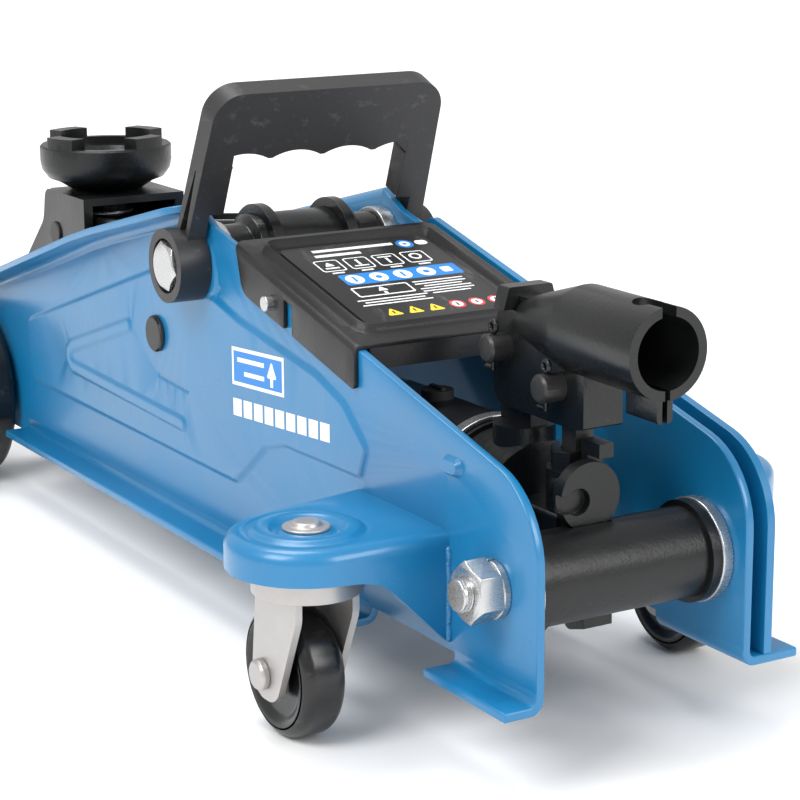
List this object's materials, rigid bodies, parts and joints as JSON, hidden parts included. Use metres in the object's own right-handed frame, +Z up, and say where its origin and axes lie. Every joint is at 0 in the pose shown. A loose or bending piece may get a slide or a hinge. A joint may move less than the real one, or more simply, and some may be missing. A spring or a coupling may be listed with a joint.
{
  "type": "hydraulic trolley jack",
  "caption": "Low hydraulic trolley jack: flanged side plates, toothed saddle on a parallel linkage, pump lever socket, carry handle, front wheels and swivelling rear casters.",
  "frame": {"origin": "on the floor under the middle of the overall length, in the plane midway between the side plates", "axes": "+X to the saddle end along the length, +Y to the left, +Z up"},
  "size_m": [0.4756, 0.2006, 0.1912],
  "materials": {
    "blue_paint": "satin gloss enamel",
    "black_sheet": "satin",
    "label_print": "printed film",
    "black_plastic": "fine grain",
    "black_paint": "satin",
    "black_casting": "painted casting",
    "zinc": "bright zinc plate",
    "dull_steel": "dull zinc plate",
    "dark_steel": "blackened",
    "polished_steel": "ground and polished",
    "wheel_black": "moulded",
    "seal_rubber": "matte"
  },
  "bodies": {
    "frame": {"left_side_plate": "blue_paint", "right_side_plate": "blue_paint", "right_outer_wall": "blue_paint", "left_caster_bracket": "blue_paint", "right_caster_bracket": "blue_paint", "kingpins": "dull_steel", "front_axle": "zinc", "axle_caps": "dull_steel", "pivot_shaft": "dark_steel", "shaft_collars": "zinc", "handle_bolts": "zinc", "link_pins": "dark_steel", "tie_rod": "zinc", "tie_nuts": "zinc", "lock_washers": "zinc", "tube_collars": "zinc", "cover_tray": "black_sheet", "label_plate": "label_print", "cover_pins": "zinc", "carry_handle": "black_plastic", "unit_block": "black_casting", "pump_gland": "zinc", "cylinder_tube": "zinc", "reservoir_tube": "black_casting", "reservoir_band": "zinc", "cylinder_head": "zinc", "filler_plug": "seal_rubber", "overload_cap": "dark_steel", "hinge_pin": "dark_steel", "hinge_split_pin": "zinc"},
    "lift_arm": {"arm_plates": "black_paint", "arm_barrel": "black_paint", "arm_web": "black_paint", "crank_pin": "dark_steel"},
    "carrier": {"saddle_carrier": "black_paint", "carrier_pin": "dark_steel", "link_front_pin": "dark_steel"},
    "saddle": {"saddle": "black_casting", "saddle_clip": "zinc"},
    "links": {"lower_links": "black_paint"},
    "ram": {"ram_rod": "polished_steel", "ram_seal": "seal_rubber", "ram_yoke": "black_paint"},
    "socket": {"handle_socket": "black_paint", "plunger_pin": "dark_steel", "plunger_split_pin": "zinc"},
    "plunger": {"pump_plunger": "polished_steel"},
    "release_valve": {"release_valve": "black_casting"},
    "left_caster_fork": {"left_caster_yoke": "dull_steel", "left_caster_axle": "dull_steel"},
    "right_caster_fork": {"right_caster_yoke": "dull_steel", "right_caster_axle": "dull_steel"},
    "left_caster_roller": {"left_caster_wheel": "wheel_black"},
    "right_caster_roller": {"right_caster_wheel": "wheel_black"},
    "left_front_roller": {"left_front_wheel": "wheel_black"},
    "right_front_roller": {"right_front_wheel": "wheel_black"}
  },
  "joints": [
    {"name": "lift_arm_hinge", "type": "hinge", "parent": "frame", "child": "lift_arm", "pos_m": [-0.0146, 0, 0.1255], "axis": [0, -1, 0], "range_deg": [-7.9, 75.15]},
    {"name": "carrier_level", "type": "hinge", "parent": "lift_arm", "child": "carrier", "pos_m": [0.1574, 0, 0.11], "axis": [0, -1, 0], "range_deg": [-75.15, 7.9]},
    {"name": "link_hinge", "type": "hinge", "parent": "frame", "child": "links", "pos_m": [0.0199, 0, 0.0935], "axis": [0, -1, 0], "range_deg": [-7.9, 75.15]},
    {"name": "ram_slide", "type": "slide", "parent": "frame", "child": "ram", "axis": [1, 0, 0], "range_m": [-0.00645, 0.0611]},
    {"name": "saddle_spin", "type": "hinge", "parent": "carrier", "child": "saddle", "pos_m": [0.155, 0, 0.128], "axis": [0, 0, 1], "continuous": true},
    {"name": "socket_hinge", "type": "hinge", "parent": "frame", "child": "socket", "pos_m": [-0.1646, 0, 0.119], "axis": [0, 1, 0], "range_deg": [-3, 40]},
    {"name": "plunger_slide", "type": "slide", "parent": "frame", "child": "plunger", "axis": [0, 0, 1], "range_m": [-0.0016, 0.0204]},
    {"name": "release_valve_turn", "type": "hinge", "parent": "frame", "child": "release_valve", "pos_m": [-0.2066, 0.0055, 0.0807], "axis": [-1, 0, 0], "range_deg": [0, 180]},
    {"name": "left_caster_swivel", "type": "hinge", "parent": "frame", "child": "left_caster_fork", "pos_m": [-0.1579, 0.075, 0.055], "axis": [0, 0, 1], "continuous": true},
    {"name": "left_caster_roll", "type": "hinge", "parent": "left_caster_fork", "child": "left_caster_roller", "pos_m": [-0.1489, 0.075, 0.0215], "axis": [0, 1, 0], "continuous": true},
    {"name": "right_caster_swivel", "type": "hinge", "parent": "frame", "child": "right_caster_fork", "pos_m": [-0.1579, -0.075, 0.055], "axis": [0, 0, 1], "continuous": true},
    {"name": "right_caster_roll", "type": "hinge", "parent": "right_caster_fork", "child": "right_caster_roller", "pos_m": [-0.1489, -0.075, 0.0215], "axis": [0, 1, 0], "continuous": true},
    {"name": "left_front_roll", "type": "hinge", "parent": "frame", "child": "left_front_roller", "pos_m": [0.1998, 0.0524, 0.038], "axis": [0, 1, 0], "continuous": true},
    {"name": "right_front_roll", "type": "hinge", "parent": "frame", "child": "right_front_roller", "pos_m": [0.1998, -0.0524, 0.038], "axis": [0, 1, 0], "continuous": true}
  ],
  "couplings": [
    {"joint": "carrier_level", "follows": "lift_arm_hinge", "ratio": -1},
    {"joint": "link_hinge", "follows": "lift_arm_hinge", "ratio": 1},
    {"joint": "ram_slide", "follows": "lift_arm_hinge", "m_per_rad": 0.0465},
    {"joint": "plunger_slide", "follows": "socket_hinge", "m_per_rad": 0.0291}
  ]
}
